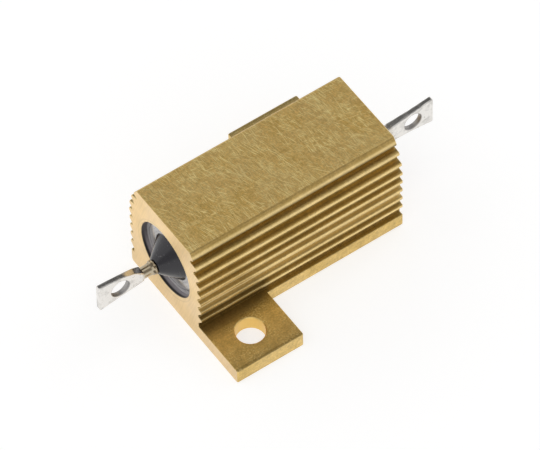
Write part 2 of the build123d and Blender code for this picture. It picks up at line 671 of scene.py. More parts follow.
@dataclass(frozen=True)
class RubbedTop:
    """The grain that drawing left along the sides, and the top that is rubbed and scratched across it."""

    size: HousingSize
    palette: GoldPalette
    grain_bounds: Range = (0.25, 0.75)
    drawn_size: Triple = (7.0, 0.12, 0.12)
    rubbed_size: Triple = (0.07, 0.7, 1.0)
    rubbed_turn: Triple = (0.0, 0.0, 0.2)
    side_tone: Range = (0.95, 1.05)
    top_tone: Range = (0.92, 1.1)
    mottle_scale: float = 1.4
    mottle_side: float = 0.9
    mottle_top: float = 0.96
    mottle_high: float = 1.05
    speckle_scale: float = 4.5
    speckle: Range = (0.89, 1.11)
    rich_edge: Range = (-0.55, -0.35)
    richness: float = 0.22
    bloom_scale: float = 0.35
    bloom_bounds: Range = (0.45, 0.7)
    bloom: float = 0.14
    scratch_edge: float = 0.05
    broken_scale: float = 0.8
    broken_step: float = 0.2
    broken: Range = (0.42, 0.56)
    scratches: tuple[Scratch, ...] = (
        Scratch(0.3, 0.06, 3.2, 0.6, 0.9),
        Scratch(-0.1, 0.06, 3.6, 0.61, 0.85),
        Scratch(0.65, 0.06, 2.6, 0.61, 0.9),
        Scratch(1.4, 0.06, 2.2, 0.63, 0.8),
        Scratch(0.1, 0.07, 6.0, 0.65, 1.0),
    )

    def grain(self, ground: Ground, upper: Socket) -> Socket:
        """The height of the grain.

        Args:
            ground: the surface.
            upper: a mask of the top face.

        Returns:
            The height's socket.
        """
        drawn = Streaks().mask(ground, self.drawn_size, self.grain_bounds)
        rubbed = Streaks().mask(ground, self.rubbed_size, self.grain_bounds, self.rubbed_turn)
        return ground.graph.blend(upper, drawn, rubbed)

    def lay(self, ground: Ground, upper: Socket, grain: Socket, colour: Socket) -> Socket:
        """Mottles the metal, shows its grain and scratches the top.

        Args:
            ground: the surface.
            upper: a mask of the top face.
            grain: the grain's height.
            colour: the colour so far.

        Returns:
            The new colour.
        """
        graph, place = ground.graph, ground.place
        darkest = graph.fade(upper, self.mottle_side, self.mottle_top)
        mottle = graph.cloud(place, self.mottle_scale, darkest, self.mottle_high, detail=3.0)
        colour = graph.scale(colour, mottle)
        colour = graph.scale(colour, graph.cloud(place, self.speckle_scale, *self.speckle))
        lowest, highest = (graph.fade(upper, *tones) for tones in zip(self.side_tone, self.top_tone))
        colour = graph.scale(colour, graph.fade(grain, lowest, highest))
        richer = graph.edge(ground.height, self.size.top, self.rich_edge, 0.0, self.richness)
        colour = graph.mix(richer, colour, self.palette.deep.linear(), Blend.TIMES)
        bloom = graph.noise(place, self.bloom_scale, detail=3.0)
        bloom = graph.span(bloom, *self.bloom_bounds, 0.0, self.bloom)
        colour = graph.mix(graph.times(bloom, upper), colour, self.palette.glint.linear())
        for count, scratch in enumerate(self.scratches):
            size = (scratch.width, scratch.length, 1.0)
            bounds = (scratch.start, scratch.start + self.scratch_edge)
            lines = Streaks().mask(ground, size, bounds, (0.0, 0.0, scratch.turn))
            broken = graph.noise(place, self.broken_scale + self.broken_step * count)
            broken = graph.span(broken, *self.broken, 0.0, scratch.share)
            colour = graph.mix(graph.times(lines, upper, broken), colour, self.palette.glint.linear())
        return colour


@dataclass(frozen=True)
class FinShade:
    """Painted light and shade on the fins. A ramp's places are heights, or for a ledge depths behind the
    crest.
    """

    size: HousingSize
    palette: GoldPalette
    groove_depths: Range = (0.0, 0.2)
    back: Range = (-1.0, 1.0)
    upward: Range = (-0.3, 0.5)
    # Painted shade in the grooves, on faces that look down and on the ledges by their depth behind the crest
    underside_shade: float = 0.78
    ledge_shade: Stops = (
        (0.0, 0.56), (0.2, 0.53), (0.32, 0.41), (0.42, 0.36), (0.54, 0.53), (0.66, 0.63), (0.9, 0.58),
    )
    # Painted light on the ledges where the front catches the light, and its share by height
    lit_ledge: Stops = (
        (0.0, 0.5), (0.1, 0.52), (0.2, 0.7), (0.3, 0.84), (0.42, 1.0), (0.5, 1.2), (0.9, 1.2),
    )
    pale_share: Stops = (
        (3.4, 0.14), (3.7, 0.2), (4.9, 0.2), (5.2, 0.88), (6.4, 0.88), (6.7, 0.6), (7.9, 0.6), (8.2, 0.18),
        (10.8, 0.12), (11.1, 0.0),
    )
    back_share: float = 0.8
    painted_light_share: float = 0.6
    # Painted reflection of the gold, tinting the grooves
    reflection_tint: float = 0.1
    crest_depths: Range = (0.06, 0.01)
    # Painted highlight on the crests below the crown
    crest_highlight: float = 1.13
    crest_limit: Range = (12.1, 11.7)
    # Painted shade on the fins above the lugs
    lug_shade: Stops = ((3.4, 0.55), (3.8, 0.54), (4.1, 0.78), (5.2, 0.88), (7.8, 1.0))
    lip_rise: Range = (0.05, 0.15)
    lip_fall: Range = (0.5, 0.35)
    lip_inner: Range = (0.0, 0.05)
    gleam: float = 0.3
    crown_edge: Range = (-0.08, -0.02)
    # Painted light and shade on the crown's rounded edge, by height
    crown_light_and_shade: Stops = (
        (13.4, 0.32), (13.55, 0.35), (13.62, 0.78), (13.69, 0.96), (13.78, 1.0), (13.85, 0.88), (13.93, 0.74),
        (14.02, 0.64), (14.13, 0.6), (14.23, 0.7), (14.32, 0.8), (14.37, 0.81), (14.392, 0.82), (14.4, 0.96),
    )

    def lay(self, ground: Ground, colour: Socket) -> Socket:
        """Paints shade in the grooves, highlights on the crests and the lip, shade above the lugs, and light
        and shade on the crown above them.

        Args:
            ground: the surface.
            colour: the colour so far.

        Returns:
            The new colour.
        """
        graph, sides = ground.graph, self.size.sides
        depth, side = sides.depth(ground), sides.mask(ground)
        crest = graph.times(graph.span(depth, *self.crest_depths), side)
        colour = self._shade_grooves(ground, depth, side, colour)
        # Painted highlight on the crests below the crown
        lower = graph.times(crest, graph.span(ground.height, *self.crest_limit))
        colour = graph.scale(colour, graph.fade(lower, 1.0, self.crest_highlight))
        # Painted shade on the fins above the lugs
        shaded = graph.times(side, self.size.over_lug(ground))
        colour = graph.dim(shaded, colour, graph.ramp(ground.height, self.lug_shade))
        lip = graph.times(
            graph.edge(ground.height, sides.high, self.lip_rise),
            graph.edge(ground.height, sides.high, self.lip_fall),
            graph.edge(ground.sideways, sides.inner, self.lip_inner),
        )
        # Painted highlight on the crests and the lip
        gleam = graph.times(graph.maths("MAXIMUM", crest, lip), self.gleam)
        colour = graph.mix(gleam, colour, self.palette.bright.linear())
        # Painted light and shade on the crown
        above = graph.edge(ground.height, sides.high, self.crown_edge)
        return graph.dim(above, colour, graph.ramp(ground.height, self.crown_light_and_shade))

    def _shade_grooves(self, ground: Ground, depth: Socket, side: Socket, colour: Socket) -> Socket:
        """Paints shade in the grooves, and light where the front catches it, less on the back side, and tints
        the grooves with a painted reflection of the gold.

        Args:
            ground: the surface.
            depth: the depth behind the crests.
            side: a mask of the finned sides.
            colour: the colour so far.

        Returns:
            The new colour.
        """
        graph = ground.graph
        groove = graph.times(graph.span(depth, *self.groove_depths), side)
        # Painted light in the grooves where the front catches the light, less on the back side
        back = graph.span(ground.parts[Axis.ACROSS], *self.back)
        pale = graph.blend(back, graph.ramp(ground.height, self.pale_share), self.back_share)
        colour = graph.mix(graph.times(groove, pale, self.painted_light_share), colour, self.palette.bright.linear())
        # Painted shade in the grooves
        ledge_shade = graph.blend(pale, graph.ramp(depth, self.ledge_shade), graph.ramp(depth, self.lit_ledge))
        shade = graph.blend(graph.span(ground.facing, *self.upward), self.underside_shade, ledge_shade)
        colour = graph.dim(groove, colour, shade)
        # Painted reflection of the gold in the grooves
        reflected = graph.times(groove, self.reflection_tint)
        return graph.mix(reflected, colour, self.palette.deep.linear(), Blend.TIMES)


@dataclass(frozen=True)
class LugShade:
    """Painted light and shade on the lugs' tops, their flecks, and painted light on the walls of the drilled
    holes.
    """

    size: HousingSize
    palette: GoldPalette
    level_rise: Range = (-0.05, -0.02)
    level_fall: Range = (0.06, 0.03)
    fin_edge: Range = (-0.8, -0.7)
    # Painted shade on the lugs' tops, darker towards the fins
    foot_reach: Range = (-0.2, 2.5)
    ledge_foot_shade: float = 0.65
    lug_foot_shade: float = 0.46
    lug_far_shade: float = 0.9
    # Painted shade along the lugs' outer rim
    rim_edge: Range = (-0.5, -0.25)
    rim_shade: float = 0.74
    fleck_scale: float = 5.0
    fleck_bounds: Range = (0.47, 0.62)
    patch_scale: float = 0.45
    patch_bounds: Range = (0.38, 0.62)
    fleck_reach: Range = (0.0, 1.5)
    fleck: float = 0.5
    # Painted light on the holes' walls below the lugs' tops
    wall_edge: Range = (0.14, 0.1)
    wall_top: Range = (-0.04, -0.1)
    lit_hole: float = 0.85

    def lay(self, ground: Ground, colour: Socket) -> Socket:
        """Paints shade on the lugs' tops towards the fins and the rim, flecks them, and paints light on the
        holes' walls.

        Args:
            ground: the surface.
            colour: the colour so far.

        Returns:
            The new colour.
        """
        graph, flange = ground.graph, self.size.sides.low
        fins, rim = self.size.sides.half_width, self.size.lug_reach
        lug = graph.times(
            graph.edge(ground.height, flange, self.level_rise),
            graph.edge(ground.height, flange, self.level_fall),
            graph.edge(ground.sideways, fins, self.fin_edge),
        )
        # Painted shade on the lugs' tops towards the fins and along the rim
        foot = graph.blend(self.size.over_lug(ground), self.ledge_foot_shade, self.lug_foot_shade)
        fall = graph.edge(ground.sideways, fins, self.foot_reach, foot, self.lug_far_shade)
        edge = graph.edge(ground.sideways, rim, self.rim_edge, 1.0, self.rim_shade)
        colour = graph.dim(lug, graph.dim(lug, colour, fall), edge)
        fleck = Specks().mask(ground, self.fleck_scale, self.fleck_bounds)
        patch = graph.span(graph.noise(ground.place, self.patch_scale), *self.patch_bounds)
        away = graph.edge(ground.sideways, fins, self.fleck_reach)
        flecks = graph.times(fleck, lug, patch, away, self.fleck)
        colour = graph.mix(flecks, colour, self.palette.glint.linear())
        # Painted light on the holes' walls
        return graph.mix(self._lit_hole_wall(ground), colour, self.palette.lit_hole.linear())

    def _lit_hole_wall(self, ground: Ground) -> Socket:
        """A mask of the painted light on the mounting holes' walls below the lugs' tops.

        Args:
            ground: the surface.

        Returns:
            The mask's socket.
        """
        graph, size = ground.graph, self.size
        along, across = (
            graph.maths("SUBTRACT", offset, centre)
            for offset, centre in zip((ground.outward, ground.sideways), size.hole)
        )
        wall = graph.edge(graph.distance(along, across), size.hole_radius, self.wall_edge, 0.0, self.lit_hole)
        return graph.times(wall, graph.edge(ground.height, size.sides.low, self.wall_top))


@dataclass(frozen=True)
class SawnAndLitEnds:
    """The sawn metal of the two cut ends, with a turned ring round the bore, painted paler and lighter higher
    up as light falls on them.
    """

    size: HousingSize
    palette: GoldPalette
    saw_turn: Triple = (0.35, 0.0, 0.0)
    saw_size: Triple = (1.0, 0.15, 2.5)
    saw_bounds: Range = (0.2, 0.8)
    tone: Range = (0.97, 1.03)
    patch_scale: float = 0.5
    ring_rise: Range = (0.2, 0.36)
    ring_fall: Range = (0.52, 0.42)
    ring_level: float = 0.92
    # Painted light: the ends lighter higher up
    rising_light_heights: Range = (1.0, 10.0)
    rising_light: Range = (0.95, 1.08)
    yellow_scale: float = 0.16
    yellow_bounds: Range = (0.45, 0.65)
    yellow: float = 0.25
    mouth_edge: Range = (0.18, 0.14)
    mouth_depth: Range = (-0.3, -0.25)

    def lay(self, ground: Ground, end: Socket, colour: Socket) -> Socket:
        """Lays the sawn metal and its painted light on the ends and the bore's mouths.

        Args:
            ground: the surface.
            end: a mask of the cut ends.
            colour: the colour so far.

        Returns:
            The new colour.
        """
        graph, bore = ground.graph, self.size.bore_radius
        sawn = Streaks().mask(ground, self.saw_size, self.saw_bounds, self.saw_turn)
        ring = graph.times(
            graph.edge(ground.radius, bore, self.ring_rise),
            graph.edge(ground.radius, bore, self.ring_fall),
        )
        # The tone holds the saw marks, random patches, the turned ring and painted light that rises with
        # height
        tone = graph.times(
            graph.fade(sawn, *self.tone),
            graph.cloud(ground.place, self.patch_scale, *self.tone, detail=3.0),
            graph.fade(ring, 1.0, self.ring_level),
            graph.span(ground.height, *self.rising_light_heights, *self.rising_light),
        )
        noise = graph.noise(ground.place, self.yellow_scale, detail=1.0)
        yellow = graph.span(noise, *self.yellow_bounds, 0.0, self.yellow)
        # Painted light: the ends' paler colour, with patches of gold
        cut = graph.mix(yellow, self.palette.sawn.linear(), self.palette.gold.linear())
        mouth = graph.times(
            graph.edge(ground.radius, bore, self.mouth_edge),
            graph.edge(ground.outward, self.size.half_length, self.mouth_depth),
        )
        return graph.mix(graph.maths("MAXIMUM", end, mouth), colour, graph.scale(cut, tone))


@dataclass(frozen=True)
class WornEdges:
    """Edges rubbed bright, most of all round the cut ends and not along the crown."""

    size: HousingSize
    palette: GoldPalette
    reach: float = 0.12 * MM
    end_edge: Range = (-0.3, -0.12)
    crown_edge: Range = (-0.5, -0.6)
    side_share: float = 0.4
    end_share: float = 0.75

    def lay(self, ground: Ground, colour: Socket) -> Socket:
        """Lays the bright metal on the edges.

        Args:
            ground: the surface.
            colour: the colour so far.

        Returns:
            The new colour.
        """
        graph = ground.graph
        worn = graph.effect(EdgeWear().build(), Place=ground.place, Reach=self.reach)
        near_end = graph.edge(ground.outward, self.size.half_length, self.end_edge)
        below = graph.edge(ground.height, self.size.top, self.crown_edge)
        share = graph.times(
            worn,
            graph.maths("MAXIMUM", near_end, below),
            graph.fade(near_end, self.side_share, self.end_share),
        )
        return graph.mix(share, colour, self.palette.bright.linear())


@dataclass(frozen=True)
class BoreCover:
    """A dark cover on the bore's wall, not metal, in place of the gold."""

    size: HousingSize
    plain: Colour = Colour(92, 86, 88)
    dark: Colour = Colour(40, 37, 42)
    pale: Colour = Colour(160, 154, 158)
    wall_edge: Range = (0.03, 0.01)
    mouth_edge: Range = (-0.12, -0.2)
    dark_rise: Range = (1.0, -2.5)
    pale_rise: Range = (2.4, 4.2)
    pale_share: float = 0.6
    near_rim_edge: Range = (0.5, 0.25)

    def cover(self, ground: Ground) -> Socket:
        """A mask of the covered wall.

        Args:
            ground: the surface.

        Returns:
            The mask's socket.
        """
        graph, size = ground.graph, self.size
        inside = graph.edge(ground.radius, size.bore_radius, self.wall_edge)
        return graph.times(inside, graph.edge(ground.outward, size.half_length, self.mouth_edge))

    def colour(self, ground: Ground) -> Socket:
        """The cover's colour: dark low down, paler near the top and low down near the moulding's rim.

        Args:
            ground: the surface.

        Returns:
            The colour's socket.
        """
        graph, rim = ground.graph, self.size.half_length - RIM_RECESS
        low = graph.span(ground.rise, *self.dark_rise)
        high = graph.span(ground.rise, *self.pale_rise)
        near_rim = graph.times(graph.edge(ground.outward, rim, self.near_rim_edge), low)
        paler = graph.maths("MAXIMUM", graph.times(high, self.pale_share), near_rim)
        colour = graph.mix(low, self.plain.linear(), self.dark.linear())
        return graph.mix(paler, colour, self.pale.linear())


@dataclass(frozen=True)
class GoldAnodised(Finish):
    """Gold anodised aluminium: drawn along its length, rubbed across its top, and painted paler on its sawn
    ends, where light falls on them.
    """

    size: HousingSize
    name: str = "gold_anodised"
    palette: GoldPalette = GoldPalette()
    end_edge: Range = (-0.06, -0.02)
    top_edge: Range = (-0.12, -0.03)
    cloud_scale: float = 0.2
    roughness: Range = (0.36, 0.44)
    top_dullness: float = 0.12
    end_dullness: float = 1.6
    grain_depth: float = 0.006 * MM

    def paint(self, ground: Ground, shader: bpy.types.NodeInputs) -> None:
        """Lays the gold, its grain, its painted light and shade, its worn edges and the dark cover in the
        bore.

        Args:
            ground: the housing's surface.
            shader: the shader's inputs.
        """
        graph, size, palette = ground.graph, self.size, self.palette
        end = graph.edge(ground.outward, size.half_length, self.end_edge)
        upper = graph.edge(ground.height, size.top, self.top_edge)
        cloud = graph.noise(ground.place, self.cloud_scale, detail=4.0, roughness=0.6)
        colour = graph.mix(
            graph.span(cloud, NOISE_LOW, NOISE_HIGH), palette.gold.linear(), palette.deep.linear()
        )
        rubbed = RubbedTop(size, palette)
        grain = rubbed.grain(ground, upper)
        colour = rubbed.lay(ground, upper, grain, colour)
        colour = FinShade(size, palette).lay(ground, colour)
        colour = LugShade(size, palette).lay(ground, colour)
        colour = SawnAndLitEnds(size, palette).lay(ground, end, colour)
        colour = WornEdges(size, palette).lay(ground, colour)
        bore_cover = BoreCover(size)
        cover = bore_cover.cover(ground)
        graph.feed(shader["Base Color"], graph.mix(cover, colour, bore_cover.colour(ground)))
        graph.feed(shader["Metallic"], graph.maths("SUBTRACT", 1.0, cover))
        uneven = graph.span(cloud, NOISE_LOW, NOISE_HIGH, *self.roughness)
        duller = graph.maths("MAXIMUM", upper, graph.times(end, self.end_dullness))
        graph.feed(shader["Roughness"], graph.maths("MULTIPLY_ADD", duller, self.top_dullness, uneven))
        self.bump(graph, shader, grain, self.grain_depth)


@dataclass(frozen=True)
class BlackMoulding(Finish):
    """Smooth black moulding compound, dull, with a pale haze and a painted reflection on its recessed rim."""

    rim: float
    name: str = "moulding_compound"
    black: Colour = Colour(25, 22, 30)
    # A pale haze, partly a painted reflection on the recessed rim
    haze_and_sheen: Colour = Colour(216, 213, 213)
    rim_edge: Range = (0.12, 0.04)
    cone_radius: float = 2.9
    cone_edge: Range = (-0.1, 0.1)
    roughness: Range = (0.15, 0.28)
    coat: float = 0.2
    rim_coat: float = 0.8
    coat_roughness: float = 0.1
    flow_scale: float = 0.9
    flow_depth: float = 0.02 * MM
    ring_scale: float = 1.6
    ring_waver: float = 0.6
    thinnest_haze_and_sheen: float = 0.4
    dust_scale: float = 4.0
    dust_bounds: Range = (0.66, 0.72)
    dust: float = 0.2

    def paint(self, ground: Ground, shader: bpy.types.NodeInputs) -> None:
        """Lays the black, its flow marks, and on its rim a pale haze that is partly a painted reflection.

        Args:
            ground: the moulding's surface.
            shader: the shader's inputs.
        """
        graph = ground.graph
        rim = graph.times(
            graph.edge(ground.outward, self.rim, self.rim_edge),
            graph.edge(ground.radius, self.cone_radius, self.cone_edge),
        )
        flow = graph.noise(ground.place, self.flow_scale, detail=4.0, roughness=0.6)
        ring = graph.add("ShaderNodeTexNoise", noise_dimensions="1D")
        graph.feed(ring.inputs["W"], graph.maths("MULTIPLY_ADD", flow, self.ring_waver, ground.radius))
        ring.inputs["Scale"].default_value = self.ring_scale
        rings = graph.span(ring.outputs["Fac"], NOISE_LOW, NOISE_HIGH, self.thinnest_haze_and_sheen, 1.0)
        dust = graph.times(Specks().mask(ground, self.dust_scale, self.dust_bounds), self.dust)
        # Pale haze on the rim, partly a painted reflection, in rings, with dust over all
        cover = graph.maths("MAXIMUM", graph.times(rim, rings), dust)
        graph.feed(shader["Base Color"], graph.mix(cover, self.black.linear(), self.haze_and_sheen.linear()))
        graph.feed(shader["Roughness"], graph.span(flow, NOISE_LOW, NOISE_HIGH, *self.roughness))
        graph.feed(shader["Coat Weight"], graph.maths("MULTIPLY_ADD", rim, self.rim_coat, self.coat))
        shader["Coat Roughness"].default_value = self.coat_roughness
        self.bump(graph, shader, flow, self.flow_depth)


@dataclass(frozen=True)
class BrightMetal(Finish):
    """Bare or tinned metal with a drawn grain."""

    name: str
    colour: Colour
    shade: Colour
    roughness: float
    smoother: float = 0.04
    rougher: float = 0.05
    grain_size: Triple = (3.0, 0.2, 0.2)
    stain_scale: float = 1.3
    stain_bounds: Range = (0.5, 0.75)
    stain: float = 0.6
    grain_depth: float = 0.003 * MM

    def paint(self, ground: Ground, shader: bpy.types.NodeInputs) -> None:
        """Lays the metal, its grain and its stains.

        Args:
            ground: the piece's surface.
            shader: the shader's inputs.
        """
        graph = ground.graph
        grain = self.grain(ground)
        stain = graph.times(Specks().mask(ground, self.stain_scale, self.stain_bounds), self.stain)
        graph.feed(shader["Base Color"], graph.mix(stain, self.colour.linear(), self.shade.linear()))
        shader["Metallic"].default_value = 1.0
        rough = graph.fade(grain, self.roughness - self.smoother, self.roughness + self.rougher)
        graph.feed(shader["Roughness"], rough)
        self.bump(graph, shader, grain, self.grain_depth)

    def grain(self, ground: Ground) -> Socket:
        """The height of the drawn grain."""
        return Streaks().mask(ground, self.grain_size, (NOISE_LOW, NOISE_HIGH))


@dataclass(frozen=True)
class Tinned(BrightMetal):
    """Tinned metal, dull in patches, with flux left in the rough collar round the shank, and painted shade on
    the blade's upward faces and in the eye.
    """

    # Painted shade on the eye's wall
    eye_wall_shade: Colour = Colour(160, 157, 155)
    flux: Colour = Colour(84, 73, 58)
    tarnish: Colour = Colour(176, 160, 128)
    # Painted shade on the blade's upward faces
    upper_shade: Colour = Colour(158, 157, 158)
    collar_rise: Range = (14.7, 14.9)
    collar_fall: Range = (15.7, 15.3)
    shank_end: float = 16.9
    shank_edge: Range = (0.0, -0.5)
    upward: Range = (0.4, 0.8)
    middle: Range = (-1.0, 1.0)
    # How much of the dirt and painted shade the right terminal gets
    right_soil_and_shade: float = 0.3
    dull_scale: float = 1.1
    dull_bounds: Range = (0.45, 0.7)
    dull_share: float = 0.7
    spot_scale: float = 3.2
    spot_bounds: Range = (0.62, 0.7)
    spot_share: float = 0.35
    tarnish_share: float = 0.8
    upper_shade_share: float = 0.65
    pit_scale: float = 2.4
    pit_bounds: Range = (0.44, 0.58)
    pit_share: float = 0.85
    eye_edge: Range = (0.16, 0.04)
    eye_shade_share: float = 0.85
    dull_roughness: float = 0.1
    eye_roughness: float = 0.4
    pit_roughness: float = 0.3
    pit_height: float = -6.0
    bump_depth: float = 0.004 * MM

    def paint(self, ground: Ground, shader: bpy.types.NodeInputs) -> None:
        """Lays the tin, its dull patches, its tarnish, the flux, painted shade on the blade's upward faces
        and painted shade on the eye's rough wall.

        Args:
            ground: the terminal's surface.
            shader: the shader's inputs.
        """
        graph = ground.graph
        # More dirt and painted shade on the left terminal than on the right
        soil_and_shade = graph.span(ground.parts[Axis.ALONG], *self.middle, 1.0, self.right_soil_and_shade)
        dull = Specks().mask(ground, self.dull_scale, self.dull_bounds)
        colour = graph.mix(graph.times(dull, self.dull_share), self.colour.linear(), self.shade.linear())
        spots = graph.times(Specks().mask(ground, self.spot_scale, self.spot_bounds), self.spot_share)
        colour = graph.mix(spots, colour, self.flux.linear())
        # Painted shade on the blade's upward faces between the eye and the shank
        edge = graph.times(
            graph.span(ground.facing, *self.upward),
            graph.span(ground.outward, EYE_CENTRE, self.shank_end, 0.0, self.upper_shade_share),
            soil_and_shade,
        )
        colour = graph.mix(edge, colour, self.upper_shade.linear())
        shank = graph.edge(ground.outward, self.shank_end, self.shank_edge, 0.0, self.tarnish_share)
        colour = graph.mix(graph.times(shank, soil_and_shade), colour, self.tarnish.linear())
        pits = graph.times(
            graph.span(ground.outward, *self.collar_rise),
            graph.span(ground.outward, *self.collar_fall),
            Specks().mask(ground, self.pit_scale, self.pit_bounds),
            soil_and_shade,
        )
        colour = graph.mix(graph.times(pits, self.pit_share), colour, self.flux.linear())
        # Painted shade on the eye's wall, which is also rougher
        eye_shade = self._shaded_eye_wall(ground)
        graph.feed(shader["Base Color"], graph.mix(eye_shade, colour, self.eye_wall_shade.linear()))
        shader["Metallic"].default_value = 1.0
        rough = graph.fade(dull, self.roughness, self.roughness + self.dull_roughness)
        rough = graph.maths("MULTIPLY_ADD", eye_shade, self.eye_roughness, rough)
        graph.feed(shader["Roughness"], graph.maths("MULTIPLY_ADD", pits, self.pit_roughness, rough))
        height = graph.maths("MULTIPLY_ADD", pits, self.pit_height, self.grain(ground))
        self.bump(graph, shader, height, self.bump_depth)

    def _shaded_eye_wall(self, ground: Ground) -> Socket:
        """A mask of the painted shade on the eye's wall.

        Args:
            ground: the terminal's surface.

        Returns:
            The mask's socket.
        """
        graph = ground.graph
        along = graph.maths("SUBTRACT", ground.outward, EYE_CENTRE)
        away = graph.distance(along, ground.rise)
        return graph.edge(away, EYE_RADIUS, self.eye_edge, 0.0, self.eye_shade_share)


@dataclass(frozen=True)
class FiredCeramic(Finish):
    """Unglazed fired ceramic."""

    name: str = "fired_ceramic"
    body: Colour = Colour(224, 219, 206)
    shade: Colour = Colour(203, 196, 180)
    roughness: float = 0.7
    pore_scale: float = 3.0
    pore_depth: float = 0.02 * MM

    def paint(self, ground: Ground, shader: bpy.types.NodeInputs) -> None:
        """Lays the body colour and its fine pores.

        Args:
            ground: the core's surface.
            shader: the shader's inputs.
        """
        graph = ground.graph
        pores = graph.noise(ground.place, self.pore_scale, detail=5.0)
        graph.feed(shader["Base Color"], graph.mix(pores, self.body.linear(), self.shade.linear()))
        shader["Roughness"].default_value = self.roughness
        self.bump(graph, shader, pores, self.pore_depth)


@dataclass
class Dressed:
    """A sub-assembly whose solids keep their shape and take a finish."""

    nodes: tuple[str, ...]
    finish: Finish

    def dress(self) -> None:
        """Puts the finish in every slot of the sub-assembly's solids."""
        material = self.finish.make()
        for name in self.nodes:
            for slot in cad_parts[name].material_slots:
                slot.material = material
            LOG.info("%s: %s", name, material.name)


class Bench:
    """Modelling by hand in millimetres, brought to metres when a piece is done."""

    @staticmethod
    def take(name: str) -> bpy.types.Object:
        """Names the piece that was just added and puts its place in its mesh.

        Args:
            name: the piece's name.

        Returns:
            The piece.
        """
        piece = bpy.context.active_object
        piece.name = piece.data.name = name
        bpy.ops.object.transform_apply(location=True, rotation=True, scale=True)
        return piece

    @staticmethod
    def clear() -> None:
        """Deselects everything, so that an operator acts on the new piece alone."""
        bpy.ops.object.select_all(action="DESELECT")

    @staticmethod
    def pick(piece: bpy.types.Object, test: Callable[[Vector], bool]) -> None:
        """Selects the piece's points that pass a test on their place, in edit mode.

        Args:
            piece: the piece, in edit mode.
            test: what a point's place has to pass.
        """
        bpy.ops.mesh.select_mode(type="VERT")
        bpy.ops.mesh.select_all(action="DESELECT")
        mesh = bmesh.from_edit_mesh(piece.data)
        for point in mesh.verts:
            point.select = test(point.co)
        mesh.select_flush(True)
        bmesh.update_edit_mesh(piece.data)

    @staticmethod
    def modify(piece: bpy.types.Object, kind: str, **settings: object) -> None:
        """Adds a modifier and applies it.

        Args:
            piece: the piece to change.
            kind: Blender's name of the modifier type.
            settings: properties of the modifier to set.
        """
        modifier = piece.modifiers.new(kind.lower(), kind)
        for name, value in settings.items():
            setattr(modifier, name, value)
        bpy.context.view_layer.objects.active = piece
        bpy.ops.object.modifier_apply(modifier=modifier.name)

    @classmethod
    def settle(cls, piece: bpy.types.Object, smooth_angle: float = 35.0) -> None:
        """Brings a finished piece from millimetres to metres and smooths it between its sharp edges.

        Args:
            piece: the piece.
            smooth_angle: the largest angle that is smoothed, in degrees.
        """
        cls.clear()
        piece.select_set(True)
        bpy.context.view_layer.objects.active = piece
        piece.scale = (MM, MM, MM)
        bpy.ops.object.transform_apply(location=True, rotation=True, scale=True)
        bpy.ops.object.shade_smooth_by_angle(angle=math.radians(smooth_angle))


@dataclass(frozen=True)
class Station:
    """A cross section of a terminal. Millimetres."""

    along: float
    thick: float
    tall: float
    lift: float = 0.0


